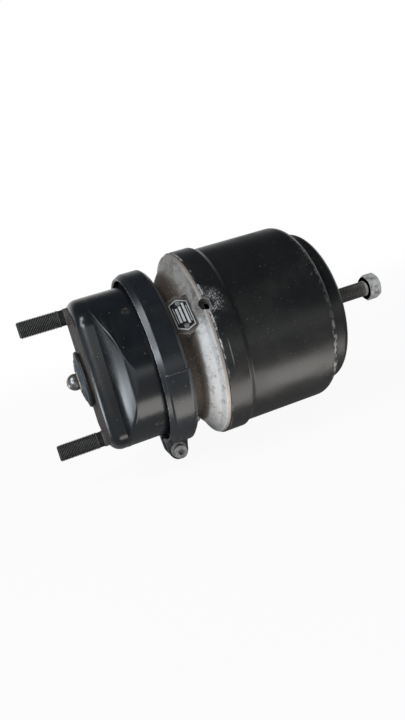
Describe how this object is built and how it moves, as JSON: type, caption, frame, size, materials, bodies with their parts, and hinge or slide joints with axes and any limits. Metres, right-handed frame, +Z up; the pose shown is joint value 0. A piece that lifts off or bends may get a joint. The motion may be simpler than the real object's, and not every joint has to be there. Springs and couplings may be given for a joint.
{
  "type": "air brake chamber",
  "caption": "Combination air brake cylinder: diaphragm chamber with mounting studs and ball-ended pushrod, cast flange with ports, spring brake can with a release bolt.",
  "frame": {"origin": "centre of the mounting face, on the cylinder axis", "axes": "+X along the cylinder axis from the mounting face to the release bolt, the two studs along -X at +Z and -Z, +Z up as the part stands in the picture"},
  "size_m": [0.3636, 0.182, 0.1934],
  "materials": {
    "black_gloss": "gloss",
    "black_satin": "satin",
    "plain_steel": "satin",
    "phosphated_steel": "dull",
    "rod_steel": "polished ball",
    "seal_rubber": "matte",
    "gaiter_rubber": "satin",
    "diaphragm_rubber": "matte",
    "plug_plastic": "satin",
    "collar_plastic": "dusty",
    "spring_steel": "satin",
    "band_steel": "satin, worn edges",
    "zinc_steel": "zinc plated",
    "cast_aluminium": "as cast",
    "plate_aluminium": "satin, bare",
    "rivet_aluminium": "satin",
    "bush_plastic": "matte",
    "bolt_steel": "dark, worn edges",
    "black_spring": "satin"
  },
  "bodies": {
    "housing": {"service_housing": "black_gloss", "stud_plate": "plain_steel", "mounting_studs": "phosphated_steel", "face_seal": "seal_rubber", "pushrod_gaiter": "gaiter_rubber", "vent_plugs": "plug_plastic", "diaphragm": "diaphragm_rubber", "return_spring": "spring_steel", "clamp_band": "band_steel", "clamp_bolt": "zinc_steel", "clamp_washer": "zinc_steel", "clamp_nut": "zinc_steel", "flange_housing": "cast_aluminium", "name_plate": "plate_aluminium", "plate_rivets": "rivet_aluminium", "bleed_screw": "plain_steel", "housing_seal": "seal_rubber", "lock_wire": "spring_steel", "tube_bush": "bush_plastic", "tube_seals": "seal_rubber", "spring_housing": "black_satin", "release_nut": "plain_steel", "power_spring": "black_spring"},
    "pushrod": {"pushrod": "rod_steel", "push_plate": "plain_steel", "dust_collar": "collar_plastic"},
    "spring_piston": {"spring_piston": "cast_aluminium", "piston_seal": "seal_rubber", "guide_ring": "bush_plastic", "piston_tube": "plain_steel", "tube_cap": "bush_plastic", "tube_retainer": "plain_steel"},
    "thrust": {"thrust_washer": "plain_steel"},
    "release_bolt": {"release_bolt": "bolt_steel", "stop_nut": "plain_steel", "stop_pin": "plain_steel"}
  },
  "joints": [
    {"name": "bolt_turn", "type": "hinge", "parent": "thrust", "child": "release_bolt", "pos_m": [0.2, 0, 0], "axis": [-1, 0, 0], "range_deg": [0, 10260]},
    {"name": "bolt_travel", "type": "slide", "parent": "housing", "child": "thrust", "axis": [-1, 0, 0], "range_m": [0, 0.057]},
    {"name": "piston_slide", "type": "slide", "parent": "housing", "child": "spring_piston", "axis": [-1, 0, 0], "range_m": [0, 0.057], "deforming": ["power_spring"]},
    {"name": "pushrod_slide", "type": "slide", "parent": "housing", "child": "pushrod", "axis": [-1, 0, 0], "range_m": [0, 0.057], "deforming": ["return_spring", "diaphragm"]}
  ],
  "couplings": [
    {"joint": "pushrod_slide", "follows": "piston_slide", "ratio": 1},
    {"joint": "bolt_travel", "follows": "piston_slide", "ratio": 1},
    {"joint": "bolt_turn", "follows": "piston_slide", "rad_per_m": 3141.6}
  ]
}
